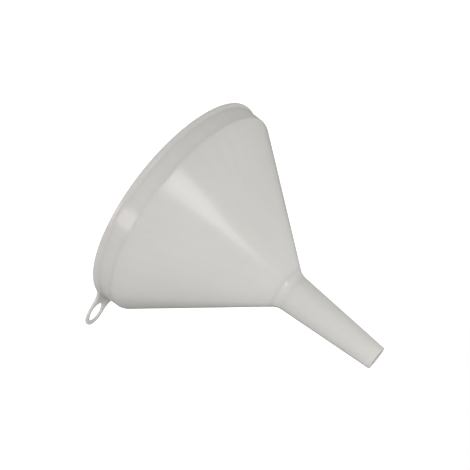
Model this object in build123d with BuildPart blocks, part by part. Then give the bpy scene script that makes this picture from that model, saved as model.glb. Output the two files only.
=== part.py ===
"""Kitchen funnel: one thin-walled moulding, modelled as its named sections.

The funnel stands mouth down on its rim.  The origin is the centre of the rim plane, +Z runs along the axis
from the mouth to the open end of the spout, and +X points through the hanging loop.  Millimetres.
"""
import os
from math import cos, hypot, radians, sin, sqrt, tan

from build123d import *

# ---- driving dimensions ------------------------------------------------------------------------------
mouth_diameter = 150.0       # across the lip, the size the funnel is sold by
wall = 1.2                   # everywhere, measured square to the surface

lip_overhang = 1.1           # how far the bead that stiffens the mouth stands proud of the collar
lip_face_height = 2.2        # rim plane to the top of the bead's upright face
lip_slope_height = 3.4       # rim plane to where the slope above that face meets the collar
lip_edge_radius = 0.5        # rounding at the foot of the bead
lip_brow_radius = 0.8        # rounding above its upright face
lip_root_radius = 2.0        # hollow rounding between its slope and the collar

collar_height = 14.0         # rim plane to the turn into the cone
collar_draft = 0.5           # how much the collar closes in over its height, on the radius
shoulder_radius = 3.0        # outside rounding where the collar turns into the cone

neck_height = 92.0           # rim plane to the point where cone and spout meet
neck_diameter = 24.6         # outside, where those two lines cross
neck_radius = 12.0           # outside rounding of the neck

overall_height = 158.0       # rim plane to the open end of the spout
spout_end_diameter = 15.0    # outside

eye_diameter = 13.0          # hole in the hanging loop
eye_strand = 2.8             # width of the loop's strand around that hole
eye_gap = 4.4                # web left between the lip and the hole
loop_thickness = 1.4
loop_edge_radius = 0.35
loop_lift = 0.05             # rim plane to the lowest edge of the loop's root, inside the lip
loop_rise = 7.5              # degrees that the loop slopes away from the rim plane
loop_root_radius = 9.0       # hollow flare on each side where the loop runs into the lip
loop_root_share = 0.6        # of that radius, the width along the lip that each flare is drawn out to

# ---- the wall's outline: (radius, height) points, and lines as (radius at height 0, slope) ---------------
mouth_radius = mouth_diameter / 2
collar_radius = mouth_radius - lip_overhang
collar_foot = (collar_radius, 0.0)
shoulder = (collar_radius - collar_draft, collar_height)
throat = (neck_diameter / 2, neck_height)
spout_end = (spout_end_diameter / 2, overall_height)


def line_through(start, end):
    slope = (end[0] - start[0]) / (end[1] - start[1])
    return start[0] - slope * start[1], slope


def inner_line(outer):
    """The line that runs one wall inside another."""
    radius, slope = outer
    return radius - wall * hypot(1.0, slope), slope


def crossing(first, second):
    """The (radius, height) where two lines cross."""
    height = (second[0] - first[0]) / (first[1] - second[1])
    return first[0] + first[1] * height, height


def radius_at(line, height):
    return line[0] + line[1] * height


def bend_start(start, corner, end, radius):
    """The height at which the rounding of an outline's corner begins, coming from start."""
    arriving = Vector(*corner) - Vector(*start)
    leaving = Vector(*end) - Vector(*corner)
    tangent = radius * tan(radians(arriving.get_angle(leaving) / 2))
    return corner[1] - tangent * arriving.normalized().Y


collar_outside = line_through(collar_foot, shoulder)
collar_inside = inner_line(collar_outside)
cone_inside = inner_line(line_through(shoulder, throat))
spout_inside = inner_line(line_through(throat, spout_end))

shoulder_start = bend_start(collar_foot, shoulder, throat, shoulder_radius)
neck_start = bend_start(shoulder, throat, spout_end, neck_radius)
neck_end = bend_start(spout_end, throat, shoulder, neck_radius)

lip_brow = (mouth_radius, lip_face_height)
lip_root = (radius_at(collar_outside, lip_slope_height), lip_slope_height)
lip_height = bend_start(shoulder, lip_root, lip_brow, lip_root_radius)

with BuildSketch() as wall_section:
    with BuildLine():
        outside = FilletPolyline(
            collar_foot,
            shoulder,
            throat,
            spout_end,
            radius=[shoulder_radius, neck_radius],
        )
        inside = FilletPolyline(
            (radius_at(collar_inside, 0.0), 0.0),
            crossing(collar_inside, cone_inside),
            crossing(cone_inside, spout_inside),
            (radius_at(spout_inside, overall_height), overall_height),
            radius=[shoulder_radius - wall, neck_radius + wall],
        )
        Line(outside @ 0, inside @ 0)
        Line(outside @ 1, inside @ 1)
    make_face()


def slab(low, high):
    """A strip of the drawing plane between two heights, as wide as the funnel."""
    return Pos(0, (low + high) / 2) * Rectangle(mouth_diameter, high - low, mode=Mode.PRIVATE)


# ---- rim lip: the foot of the wall with its proud bead ---------------------------------------------------
with BuildPart() as rim_lip:
    with BuildSketch(Plane.XZ):
        with BuildLine():
            bead = FilletPolyline(
                (radius_at(collar_inside, 0.0), 0.0),
                (mouth_radius, 0.0),
                lip_brow,
                lip_root,
                shoulder,
                radius=[lip_edge_radius, lip_brow_radius, lip_root_radius],
            )
            Polyline(bead @ 1, (radius_at(collar_inside, collar_height), collar_height), bead @ 0)
        make_face()
        add(slab(0.0, lip_height), mode=Mode.INTERSECT)
    revolve(axis=Axis.Z)
rim_lip.part.label = "rim_lip"

# ---- collar ----------------------------------------------------------------------------------------------
with BuildPart() as collar:
    with BuildSketch(Plane.XZ):
        add(wall_section.sketch_local)
        add(slab(lip_height, shoulder_start), mode=Mode.INTERSECT)
    revolve(axis=Axis.Z)
collar.part.label = "collar"

# ---- cone, with the rounded shoulder at its wide end -------------------------------------------------------
with BuildPart() as cone:
    with BuildSketch(Plane.XZ):
        add(wall_section.sketch_local)
        add(slab(shoulder_start, neck_start), mode=Mode.INTERSECT)
    revolve(axis=Axis.Z)
cone.part.label = "cone"

# ---- neck, the hollow curve between cone and spout ---------------------------------------------------------
with BuildPart() as neck:
    with BuildSketch(Plane.XZ):
        add(wall_section.sketch_local)
        add(slab(neck_start, neck_end), mode=Mode.INTERSECT)
    revolve(axis=Axis.Z)
neck.part.label = "neck"

# ---- spout -----------------------------------------------------------------------------------------------
with BuildPart() as spout:
    with BuildSketch(Plane.XZ):
        add(wall_section.sketch_local)
        add(slab(neck_end, overall_height), mode=Mode.INTERSECT)
    revolve(axis=Axis.Z)
spout.part.label = "spout"

# ---- hanging loop: a flat eye whose flared root runs into the lip and is cut to its face ----------------------
eye_radius = eye_diameter / 2
strand_radius = eye_radius + eye_strand
eye_reach = eye_gap + eye_radius
root_width = 2 * (strand_radius + loop_root_share * loop_root_radius)
root_depth = mouth_radius - sqrt(collar_radius**2 - (root_width / 2) ** 2)
loop_plane = Plane(
    origin=(mouth_radius, 0, loop_lift + root_depth * sin(radians(loop_rise))),
    x_dir=(cos(radians(loop_rise)), 0, sin(radians(loop_rise))),
    z_dir=(-sin(radians(loop_rise)), 0, cos(radians(loop_rise))),
)

with BuildPart() as hanging_loop:
    with BuildSketch(loop_plane) as loop_outline:
        with Locations((-mouth_radius, 0)):
            Circle(mouth_radius - lip_overhang / 2)
        with Locations((eye_reach, 0)):
            Rectangle(eye_reach + 2 * lip_overhang, 2 * strand_radius, align=(Align.MAX, Align.CENTER))
        root_corners = loop_outline.vertices().filter_by_position(Axis.X, -2 * lip_overhang, eye_gap)
        fillet(root_corners, loop_root_radius)
        with Locations((eye_reach, 0)):
            Circle(strand_radius)
            Circle(eye_radius, mode=Mode.SUBTRACT)
        with Locations((-mouth_radius, 0)):
            Circle(collar_radius, mode=Mode.SUBTRACT)
        Rectangle(mouth_diameter, root_width, mode=Mode.INTERSECT)
    extrude(amount=loop_thickness)
    face_edges = hanging_loop.faces().filter_by(loop_plane).edges()
    fillet(face_edges.filter_by(lambda edge: edge.center().X > mouth_radius), loop_edge_radius)
    add(rim_lip.part, mode=Mode.SUBTRACT)
hanging_loop.part.label = "hanging_loop"

os.makedirs("parts", exist_ok=True)
for piece in (rim_lip, collar, cone, neck, spout, hanging_loop):
    export_step(piece.part, f"parts/{piece.part.label}.step")
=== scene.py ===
"""Looks of a translucent plastic kitchen funnel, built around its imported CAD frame.

Metres throughout, in the CAD frame: the funnel stands mouth down on its rim, +Z runs to the spout's open
end and +X out through the hanging loop.  Every section of the moulding is made here at a finer resolution
than the CAD and stands for the CAD node of the same name.
"""
from math import atan2, cos, hypot, pi, radians, sin, sqrt, tan

import bmesh
import bpy
from mathutils import Matrix, Vector


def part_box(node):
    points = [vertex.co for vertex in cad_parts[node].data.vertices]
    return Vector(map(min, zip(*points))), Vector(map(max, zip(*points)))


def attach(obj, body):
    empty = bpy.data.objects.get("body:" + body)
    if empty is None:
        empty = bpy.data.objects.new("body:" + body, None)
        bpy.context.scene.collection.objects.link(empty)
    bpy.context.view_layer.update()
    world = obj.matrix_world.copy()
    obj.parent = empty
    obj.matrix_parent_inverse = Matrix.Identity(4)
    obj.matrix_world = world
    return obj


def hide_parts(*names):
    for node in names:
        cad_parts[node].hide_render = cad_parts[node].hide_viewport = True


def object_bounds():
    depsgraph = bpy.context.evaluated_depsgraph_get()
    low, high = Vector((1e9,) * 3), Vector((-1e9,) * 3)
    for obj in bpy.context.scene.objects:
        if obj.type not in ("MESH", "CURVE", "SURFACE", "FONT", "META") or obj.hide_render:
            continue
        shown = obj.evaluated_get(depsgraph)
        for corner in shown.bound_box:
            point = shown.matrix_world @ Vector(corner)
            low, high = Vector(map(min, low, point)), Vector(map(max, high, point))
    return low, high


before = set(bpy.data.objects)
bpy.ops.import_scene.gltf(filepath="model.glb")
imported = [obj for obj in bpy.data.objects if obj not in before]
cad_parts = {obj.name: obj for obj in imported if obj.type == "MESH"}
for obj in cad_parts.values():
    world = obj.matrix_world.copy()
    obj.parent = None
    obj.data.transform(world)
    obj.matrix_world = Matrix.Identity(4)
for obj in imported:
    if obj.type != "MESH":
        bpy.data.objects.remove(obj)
cad_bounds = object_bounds()

BODY = "root"

# ---- sizes shared with the CAD ---------------------------------------------------------------------------
MOUTH_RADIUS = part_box("rim_lip")[1].y
LIP_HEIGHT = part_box("collar")[0].z
SHOULDER_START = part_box("cone")[0].z
NECK_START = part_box("neck")[0].z
NECK_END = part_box("spout")[0].z
OVERALL_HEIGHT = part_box("spout")[1].z
WALL = 0.0012
LIP_OVERHANG = 0.0011
LIP_EDGE_RADIUS = 0.0005
COLLAR_HEIGHT = 0.014
COLLAR_DRAFT = 0.0005
SHOULDER_RADIUS = 0.003
NECK_HEIGHT = 0.092
THROAT_RADIUS = 0.0123
NECK_RADIUS = 0.012
SPOUT_END_RADIUS = 0.0075

EYE_RADIUS = 0.0065
EYE_STRAND = 0.0028
EYE_GAP = 0.0044
EYE_CENTRE = EYE_GAP + EYE_RADIUS    # out from the lip's face
LOOP_THICKNESS = 0.0014
LOOP_EDGE = 0.00035
LOOP_LIFT = 0.0004         # underside of the loop above the rim plane, at the lip's face
LOOP_RISE = radians(7.5)   # slope of the loop away from the rim plane
LOOP_ROOT_RADIUS = 0.009
LOOP_SINK = 0.0006         # how far the root runs into the lip, so that the two read as one moulding

# ---- finer detail than the CAD holds ---------------------------------------------------------------------
LIP_FACE_HEIGHT = 0.0019   # the bead is a little rounder than the CAD's, by less than 0.4 mm
LIP_SLOPE_HEIGHT = 0.0030
LIP_BROW_RADIUS = 0.0012
LIP_ROOT_RADIUS = 0.0012
MOUTH_EDGE = 0.0003
SPOUT_EDGE = 0.0004
WARP = 0.00012             # scale of how far the cooled moulding is out of true
WARP_WAVES = [             # waves round the funnel, their phase, their turn with height, their weight
    (2, 0.7, 0, 1.0),
    (3, 2.1, 22, 0.45),
    (7, 0.0, 31, 0.2),
]

# ---- resolution ------------------------------------------------------------------------------------------
RING_STEPS = 288
ARC_STEPS = 14
WALL_RUN = 0.003           # spacing of the extra rings along the wall
FLARE_STEPS = 24
LOOP_END_STEPS = 64
EYE_STEPS = 72
BEVEL_STEPS = 3
SAME_POINT = 1e-7
SHARP_TURN = radians(35)


# ---- outlines: lists of (radius, height) -----------------------------------------------------------------
def rounded(corners, closed=False):
    """A path through (radius, height, rounding) corners, with each rounded corner as an arc."""
    path = []
    count = len(corners)
    for i, (radius, height, rounding) in enumerate(corners):
        at_end = not closed and i in (0, count - 1)
        if at_end or rounding == 0:
            path.append((radius, height))
            continue
        here = Vector((radius, height))
        back = (Vector(corners[i - 1][:2]) - here).normalized()
        ahead = (Vector(corners[(i + 1) % count][:2]) - here).normalized()
        half = back.angle(ahead) / 2
        centre = here + (back + ahead).normalized() * rounding / sin(half)
        first = here + back * rounding / tan(half) - centre
        last = here + ahead * rounding / tan(half) - centre
        sweep = first.angle_signed(last)
        for step in range(ARC_STEPS + 1):
            turn = Matrix.Rotation(-sweep * step / ARC_STEPS, 2)
            path.append(tuple(centre + turn @ first))
    return path


def between(path, low, high):
    """The stretch of a rising path between two heights."""
    def at(height):
        for (r0, z0), (r1, z1) in zip(path, path[1:]):
            if z0 <= height <= z1:
                return r0 + (r1 - r0) * (height - z0) / (z1 - z0), height
        raise ValueError(f"the path has no height {height}")

    middle = [p for p in path if low + SAME_POINT < p[1] < high - SAME_POINT]
    return [at(low), *middle, at(high)]


def line_through(start, end):
    """The line through two points, as its radius at height 0 and its slope."""
    slope = (end[0] - start[0]) / (end[1] - start[1])
    return start[0] - slope * start[1], slope


def inner_line(outer):
    """The line that runs one wall inside another."""
    return outer[0] - WALL * hypot(1.0, outer[1]), outer[1]


def radius_at(line, height):
    return line[0] + line[1] * height


def crossing(first, second):
    """The (radius, height) where two lines cross."""
    height = (second[0] - first[0]) / (first[1] - second[1])
    return first[0] + first[1] * height, height


collar_foot = (MOUTH_RADIUS - LIP_OVERHANG, 0.0)
shoulder = (collar_foot[0] - COLLAR_DRAFT, COLLAR_HEIGHT)
throat = (THROAT_RADIUS, NECK_HEIGHT)
spout_end = (SPOUT_END_RADIUS, OVERALL_HEIGHT)
collar_outside = line_through(collar_foot, shoulder)
collar_inside = inner_line(collar_outside)
cone_inside = inner_line(line_through(shoulder, throat))
spout_inside = inner_line(line_through(throat, spout_end))
spout_end_inner = radius_at(spout_inside, OVERALL_HEIGHT)

outside = rounded([
    (*collar_foot, 0),
    (*shoulder, SHOULDER_RADIUS),
    (*throat, NECK_RADIUS),
    (*spout_end, 0),
])
inside = rounded([
    (radius_at(collar_inside, 0.0), 0.0, 0),
    (*crossing(collar_inside, cone_inside), SHOULDER_RADIUS - WALL),
    (*crossing(cone_inside, spout_inside), NECK_RADIUS + WALL),
    (spout_end_inner, OVERALL_HEIGHT, 0),
])


# ---- meshes ----------------------------------------------------------------------------------------------
def warped(radius, angle, height):
    """The point on the moulding at that angle, with the slight warp of a part that cooled unevenly."""
    slack = radius / MOUTH_RADIUS
    wave = sum(
        weight * sin(count * angle + phase + turn * height)
        for count, phase, turn, weight in WARP_WAVES
    )
    reach = radius + WARP * slack * wave
    return Vector((reach * cos(angle), reach * sin(angle), height))


def finish_mesh(name, bm, material):
    """The object made of a bmesh, shaded smooth but for its sharp edges."""
    bmesh.ops.remove_doubles(bm, verts=bm.verts, dist=SAME_POINT)
    bmesh.ops.recalc_face_normals(bm, faces=bm.faces)
    for face in bm.faces:
        face.smooth = True
    for edge in bm.edges:
        edge.smooth = edge.calc_face_angle(0) < SHARP_TURN
    mesh = bpy.data.meshes.new(name)
    bm.to_mesh(mesh)
    bm.free()
    piece = bpy.data.objects.new(name, mesh)
    bpy.context.scene.collection.objects.link(piece)
    mesh.materials.append(material)
    return piece


def lathe(name, outline, material):
    """A closed (radius, height) outline turned about Z."""
    bm = bmesh.new()
    rings = []
    for step in range(RING_STEPS):
        angle = 2 * pi * step / RING_STEPS
        rings.append([bm.verts.new(warped(r, angle, z)) for r, z in outline])
    count = len(outline)
    for step in range(RING_STEPS):
        here, there = rings[step], rings[(step + 1) % RING_STEPS]
        for k in range(count):
            j = (k + 1) % count
            bm.faces.new((here[k], there[k], there[j], here[j]))
    return finish_mesh(name, bm, material)


def subdivided(path, spacing):
    """The path with extra points about that far apart along its longer runs."""
    full = [path[0]]
    for (r0, z0), (r1, z1) in zip(path, path[1:]):
        runs = max(1, round(hypot(r1 - r0, z1 - z0) / spacing))
        for k in range(1, runs + 1):
            full.append((r0 + (r1 - r0) * k / runs, z0 + (z1 - z0) * k / runs))
    return full


def wall_between(low, high):
    """The closed outline of the wall between two heights."""
    outer = subdivided(between(outside, low, high), WALL_RUN)
    inner = subdivided(between(inside, low, high), WALL_RUN)
    return outer + inner[::-1]


def lip_outline():
    """The foot of the wall with its proud bead."""
    return rounded([
        (radius_at(collar_inside, 0.0), 0.0, MOUTH_EDGE),
        (MOUTH_RADIUS, 0.0, LIP_EDGE_RADIUS),
        (MOUTH_RADIUS, LIP_FACE_HEIGHT, LIP_BROW_RADIUS),
        (radius_at(collar_outside, LIP_SLOPE_HEIGHT), LIP_SLOPE_HEIGHT, LIP_ROOT_RADIUS),
        (radius_at(collar_outside, LIP_HEIGHT), LIP_HEIGHT, 0),
        (radius_at(collar_inside, LIP_HEIGHT), LIP_HEIGHT, 0),
    ], closed=True)


def spout_outline():
    """The spout's wall with its end rounded off."""
    body = wall_between(NECK_END, OVERALL_HEIGHT - 2 * SPOUT_EDGE)
    half = len(body) // 2
    cap = rounded([
        (*body[half - 1], 0),
        (SPOUT_END_RADIUS, OVERALL_HEIGHT, SPOUT_EDGE),
        (spout_end_inner, OVERALL_HEIGHT, SPOUT_EDGE),
        (*body[half], 0),
    ])
    return body[:half] + cap[1:-1] + body[half:]


def arc_points(centre, radius, start, end, steps):
    """Points along an arc in the plane, both ends included."""
    return [
        (centre[0] + radius * cos(start + (end - start) * k / steps),
         centre[1] + radius * sin(start + (end - start) * k / steps))
        for k in range(steps + 1)
    ]


def loop_outline():
    """The loop's outer edge from above, in its own plane: x outwards from the lip, y along it."""
    half_width = EYE_RADIUS + EYE_STRAND
    flare_y = half_width + LOOP_ROOT_RADIUS
    flare_x = -MOUTH_RADIUS + sqrt((MOUTH_RADIUS + LOOP_ROOT_RADIUS) ** 2 - flare_y ** 2)
    lean = atan2(flare_y, flare_x + MOUTH_RADIUS)
    side = arc_points((flare_x, flare_y), LOOP_ROOT_RADIUS, pi + lean, 3 * pi / 2, FLARE_STEPS)
    end = arc_points((EYE_CENTRE, 0), half_width, pi / 2, -pi / 2, LOOP_END_STEPS)
    mirrored = [(x, -y) for x, y in side[::-1]]
    root = arc_points((-MOUTH_RADIUS, 0), MOUTH_RADIUS - LOOP_SINK, -lean, lean, FLARE_STEPS)
    return side + end + mirrored + root


def hanging_loop(material):
    """The flat eye, filled between its outline and its hole, with rounded edges."""
    curve = bpy.data.curves.new("hanging_loop_outline", "CURVE")
    curve.dimensions = "2D"
    curve.fill_mode = "BOTH"
    curve.offset = -LOOP_EDGE
    curve.bevel_depth = LOOP_EDGE
    curve.bevel_resolution = BEVEL_STEPS
    curve.extrude = LOOP_THICKNESS / 2 - LOOP_EDGE
    hole = arc_points((EYE_CENTRE, 0), EYE_RADIUS, 0, 2 * pi, EYE_STEPS)[:-1]
    for path in (loop_outline(), hole):
        spline = curve.splines.new("POLY")
        spline.points.add(len(path) - 1)
        for point, (x, y) in zip(spline.points, path):
            point.co = (x, y, 0, 1)
        spline.use_cyclic_u = True
    carrier = bpy.data.objects.new("hanging_loop_outline", curve)
    bpy.context.scene.collection.objects.link(carrier)
    bpy.context.view_layer.update()
    bm = bmesh.new()
    bm.from_mesh(carrier.to_mesh())
    bpy.data.objects.remove(carrier)
    place = (
        Matrix.Translation((MOUTH_RADIUS, 0, LOOP_LIFT))
        @ Matrix.Rotation(-LOOP_RISE, 4, "Y")
        @ Matrix.Translation((0, 0, LOOP_THICKNESS / 2))
    )
    bmesh.ops.transform(bm, matrix=place, verts=bm.verts)
    return finish_mesh("hanging_loop_moulding", bm, material)


# ---- shader nodes ----------------------------------------------------------------------------------------
class Graph:
    """An emptied node tree, with short ways to add the nodes that it needs."""

    def __init__(self, tree):
        self.nodes, self.links = tree.nodes, tree.links
        self.nodes.clear()

    def node(self, kind, inputs=None, **settings):
        """A new node, each of its inputs given as a value or as the output that feeds it."""
        made = self.nodes.new(kind)
        for key, value in settings.items():
            setattr(made, key, value)
        for key, value in (inputs or {}).items():
            if isinstance(value, bpy.types.NodeSocket):
                self.links.new(value, made.inputs[key])
            else:
                made.inputs[key].default_value = value
        return made

    def maths(self, operation, *values):
        """A calculation on numbers and outputs."""
        made = self.node("ShaderNodeMath", dict(enumerate(values)), operation=operation)
        return made.outputs["Value"]

    def weighted(self, first, first_weight, second, second_weight):
        """The weighted sum of two outputs."""
        return self.maths(
            "ADD",
            self.maths("MULTIPLY", first, first_weight),
            self.maths("MULTIPLY", second, second_weight),
        )

    def scaled(self, source, old_range, new_range, interpolation="LINEAR"):
        """The source with one range laid over another."""
        inputs = {
            "Value": source,
            "From Min": old_range[0],
            "From Max": old_range[1],
            "To Min": new_range[0],
            "To Max": new_range[1],
        }
        made = self.node("ShaderNodeMapRange", inputs, interpolation_type=interpolation)
        return made.outputs["Result"]

    def noise(self, source, scale, detail, rough):
        """Cloudy noise between 0 and 1, laid out by the source."""
        inputs = {"Vector": source, "Scale": scale, "Detail": detail, "Roughness": rough}
        return self.node("ShaderNodeTexNoise", inputs).outputs["Fac"]

    def ramp(self, source, low, high):
        """A colour between low, where the source is 0, and high, where it is 1."""
        made = self.node("ShaderNodeValToRGB", {"Fac": source})
        for stop, colour in zip(made.color_ramp.elements, (low, high)):
            stop.color = (*colour, 1)
        return made.outputs["Color"]

    def cosine(self, heading, direction):
        """The cosine of the angle between a heading and a fixed direction."""
        made = self.node("ShaderNodeVectorMath", {0: heading, 1: direction}, operation="DOT_PRODUCT")
        return made.outputs["Value"]


# ---- material: natural polypropylene ---------------------------------------------------------------------
# ends of the plastic's colour ramp: its random milkiness, plus the painted shade that darkens it towards
# the rim
CLEAR_AND_SHADED_PLASTIC = (0.696, 0.689, 0.664)
MILKY_AND_LIT_PLASTIC = (0.786, 0.779, 0.757)
PLASTIC_IOR = 1.49
GLOW_SHARE = 0.35             # part of the light that the wall lets through
STREAK_RUN = 2.5              # streaks get shorter along the wall as this grows
STREAK_WEIGHT = 0.52
CLOUD_WEIGHT = 0.63
PAINTED_RIM_SHADE = (-0.35, 0.20)    # painted shade: how much darker the colour is at the rim, and lighter at the neck
WEAR = (0.3, 0.7)             # noise of the least and the most rubbed skin, and its roughness
ROUGHNESS = (0.16, 0.24)
GRAIN_WEIGHT = 0.25
PEEL_WEIGHT = 0.75
RELIEF_STRENGTH = 0.25
RELIEF_HEIGHT = 0.00006


def natural_plastic():
    """Milky plastic that lets some light through, with flow streaks, painted shade darkening it towards the
    rim, and a lightly rubbed skin.
    """
    material = bpy.data.materials.new("natural_plastic")
    material.use_nodes = True
    graph = Graph(material.node_tree)
    place = graph.node("ShaderNodeTexCoord").outputs["Object"]
    x, y, z = graph.node("ShaderNodeSeparateXYZ", {"Vector": place}).outputs

    # melt flows from the gate at the neck down the wall, so its streaks follow the cone's generators
    bearing = graph.maths("ARCTAN2", y, x)
    flow = graph.node("ShaderNodeCombineXYZ", {
        "X": graph.maths("SINE", bearing),
        "Y": graph.maths("COSINE", bearing),
        "Z": graph.maths("MULTIPLY", z, STREAK_RUN),
    }).outputs["Vector"]
    streaks = graph.noise(flow, scale=16.0, detail=3.0, rough=0.6)
    clouds = graph.noise(place, scale=26.0, detail=4.0, rough=0.55)
    mottle = graph.weighted(streaks, STREAK_WEIGHT, clouds, CLOUD_WEIGHT)
    # painted shade: the colour is lightest from the neck onwards and darkens towards the rim
    painted_rim_shade = graph.scaled(z, (0.0, NECK_HEIGHT), PAINTED_RIM_SHADE)
    colour = graph.ramp(graph.maths("ADD", mottle, painted_rim_shade), CLEAR_AND_SHADED_PLASTIC, MILKY_AND_LIT_PLASTIC)

    rub = graph.noise(place, scale=900.0, detail=5.0, rough=0.75)
    wear = graph.weighted(rub, 0.5, clouds, 0.5)
    roughness = graph.scaled(wear, WEAR, ROUGHNESS)

    grain = graph.noise(place, scale=2600.0, detail=2.0, rough=0.5)
    peel = graph.noise(place, scale=210.0, detail=2.0, rough=0.5)
    relief = graph.node("ShaderNodeBump", {
        "Strength": RELIEF_STRENGTH,
        "Distance": RELIEF_HEIGHT,
        "Height": graph.weighted(grain, GRAIN_WEIGHT, peel, PEEL_WEIGHT),
    }).outputs["Normal"]

    skin = graph.node("ShaderNodeBsdfPrincipled", {
        "Base Color": colour,
        "Roughness": roughness,
        "IOR": PLASTIC_IOR,
        "Normal": relief,
    }).outputs["BSDF"]
    glow = graph.node("ShaderNodeBsdfTranslucent", {"Color": colour, "Normal": relief}).outputs["BSDF"]
    blend = graph.node("ShaderNodeMixShader", {"Fac": GLOW_SHARE, 1: skin, 2: glow}).outputs["Shader"]
    graph.node("ShaderNodeOutputMaterial", {"Surface": blend})
    return material


# ---- the funnel ------------------------------------------------------------------------------------------
plastic = natural_plastic()
sections = {
    "rim_lip": lathe("rim_lip_moulding", lip_outline(), plastic),
    "collar": lathe("collar_moulding", wall_between(LIP_HEIGHT, SHOULDER_START), plastic),
    "cone": lathe("cone_moulding", wall_between(SHOULDER_START, NECK_START), plastic),
    "neck": lathe("neck_moulding", wall_between(NECK_START, NECK_END), plastic),
    "spout": lathe("spout_moulding", spout_outline(), plastic),
    "hanging_loop": hanging_loop(plastic),
}
for cad_node, piece in sections.items():
    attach(piece, BODY)
    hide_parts(cad_node)


# ---- camera ----------------------------------------------------------------------------------------------
CAMERA_AT = Vector((0.0198, -0.5640, 0.2164))
CAMERA_AIM = Vector((-0.0064, -0.0003, 0.0431))
CAMERA_ROLL = radians(127.76)    # the funnel's axis runs down to the right in the view
CAMERA_FIELD = radians(27.79)
NEAREST_SEEN = 0.01


def facing(at, aim, roll):
    """The placing of a camera or lamp at one point, turned to another and rolled about that line."""
    look = (Vector(aim) - Vector(at)).to_track_quat("-Z", "Y").to_matrix().to_4x4()
    return Matrix.Translation(at) @ look @ Matrix.Rotation(roll, 4, "Z")


camera = bpy.data.objects.new("camera", bpy.data.cameras.new("camera"))
camera.data.sensor_fit = "HORIZONTAL"
camera.data.angle = CAMERA_FIELD
camera.data.clip_start = NEAREST_SEEN
camera.matrix_world = facing(CAMERA_AT, CAMERA_AIM, CAMERA_ROLL)
bpy.context.scene.collection.objects.link(camera)
bpy.context.scene.camera = camera
bpy.context.view_layer.update()


# ---- light: two softboxes close to the funnel, either side of the camera, and one behind it --------------
def softbox(name, at, aim, size, roll, power, tint=(1, 1, 1)):
    """A rectangular area light at one point, facing another."""
    lamp = bpy.data.lights.new(name, "AREA")
    lamp.shape = "RECTANGLE"
    lamp.size, lamp.size_y = size
    lamp.energy = power
    lamp.color = tint
    holder = bpy.data.objects.new(name, lamp)
    holder.matrix_world = facing(at, aim, roll)
    bpy.context.scene.collection.objects.link(holder)


softbox(
    "softbox_spout_side", at=(-0.093, -0.350, 0.425), aim=(0.002, -0.05, 0.04),
    size=(0.15, 0.17), roll=radians(45), power=0.48,
)
softbox(
    "softbox_mouth_side", at=(0.320, -0.377, -0.139), aim=(0.002, -0.05, 0.01),
    size=(0.14, 0.20), roll=0, power=0.46, tint=(1, 0.93, 0.94),
)
softbox(
    "softbox_behind", at=(-0.24, 0.46, 0.60), aim=(0, 0.02, 0.05),
    size=(0.30, 0.22), roll=radians(20), power=1.0,
)


# ---- room: pale, brighter on the camera's side, dark behind the funnel -----------------------------------
WALL_TINT = (1.0, 0.995, 0.985, 1)
WALL_LEVELS = (0.51, 0.95)                        # strength opposite the bright side, and at it
BRIGHT_SIDE = Vector((0.25, -0.1, 1)).normalized()    # both sides are given in the camera's axes
DARK_SIDE = Vector((0.1, -0.35, -1)).normalized()
DARK_FADE = (0.72, 0.97)                          # cosines from the dark side where it begins and is full
DARK_SHARE = 0.1                                  # of the walls' strength, left at the dark side


def pale_room(camera_axes):
    """Walls that light the funnel unevenly, behind a backdrop that the camera sees as white."""
    room = bpy.data.worlds.new("room")
    room.use_nodes = True
    graph = Graph(room.node_tree)
    heading = graph.node("ShaderNodeTexCoord").outputs["Generated"]
    level = graph.scaled(graph.cosine(heading, camera_axes @ BRIGHT_SIDE), (-1.0, 1.0), WALL_LEVELS)
    dark = graph.cosine(heading, camera_axes @ DARK_SIDE)
    shade = graph.scaled(dark, DARK_FADE, (1.0, DARK_SHARE), "SMOOTHSTEP")
    walls = graph.node("ShaderNodeBackground", {
        "Color": WALL_TINT,
        "Strength": graph.maths("MULTIPLY", level, shade),
    }).outputs["Background"]
    backdrop = graph.node("ShaderNodeBackground", {
        "Color": (1, 1, 1, 1),
        "Strength": 1.0,
    }).outputs["Background"]
    seen = graph.node("ShaderNodeLightPath").outputs["Is Camera Ray"]
    blend = graph.node("ShaderNodeMixShader", {"Fac": seen, 1: walls, 2: backdrop}).outputs["Shader"]
    graph.node("ShaderNodeOutputWorld", {"Surface": blend})
    return room


bpy.context.scene.world = pale_room(camera.matrix_world.to_3x3().normalized())


# ---- floor -----------------------------------------------------------------------------------------------
FLOOR_REACH = 4.0
FLOOR_GAP = 0.0001    # keeps the paper clear of the rim's flat foot
PAPER_SHADE = 0.5
PAPER_GLOW = 0.80     # lifts the paper to the backdrop's white


def white_paper():
    """Paper without any sheen."""
    material = bpy.data.materials.new("paper")
    material.use_nodes = True
    skin = material.node_tree.nodes["Principled BSDF"]
    skin.inputs["Base Color"].default_value = (PAPER_SHADE, PAPER_SHADE, PAPER_SHADE, 1)
    skin.inputs["Roughness"].default_value = 1.0
    skin.inputs["Specular IOR Level"].default_value = 0.0
    skin.inputs["Emission Color"].default_value = (1, 1, 1, 1)
    skin.inputs["Emission Strength"].default_value = PAPER_GLOW
    return material


floor_mesh = bpy.data.meshes.new("floor")
floor_corners = [(x * FLOOR_REACH, y * FLOOR_REACH, 0) for x, y in ((-1, -1), (1, -1), (1, 1), (-1, 1))]
floor_mesh.from_pydata(floor_corners, [], [(0, 1, 2, 3)])
floor_mesh.materials.append(white_paper())
floor = bpy.data.objects.new("floor", floor_mesh)
bpy.context.scene.collection.objects.link(floor)
floor.location.z = cad_bounds[0][2] - FLOOR_GAP
floor.visible_glossy = False
floor.visible_diffuse = False
floor.visible_transmission = False
floor.visible_shadow = False

bpy.context.scene.view_settings.view_transform = "Standard"

bpy.context.view_layer.update()
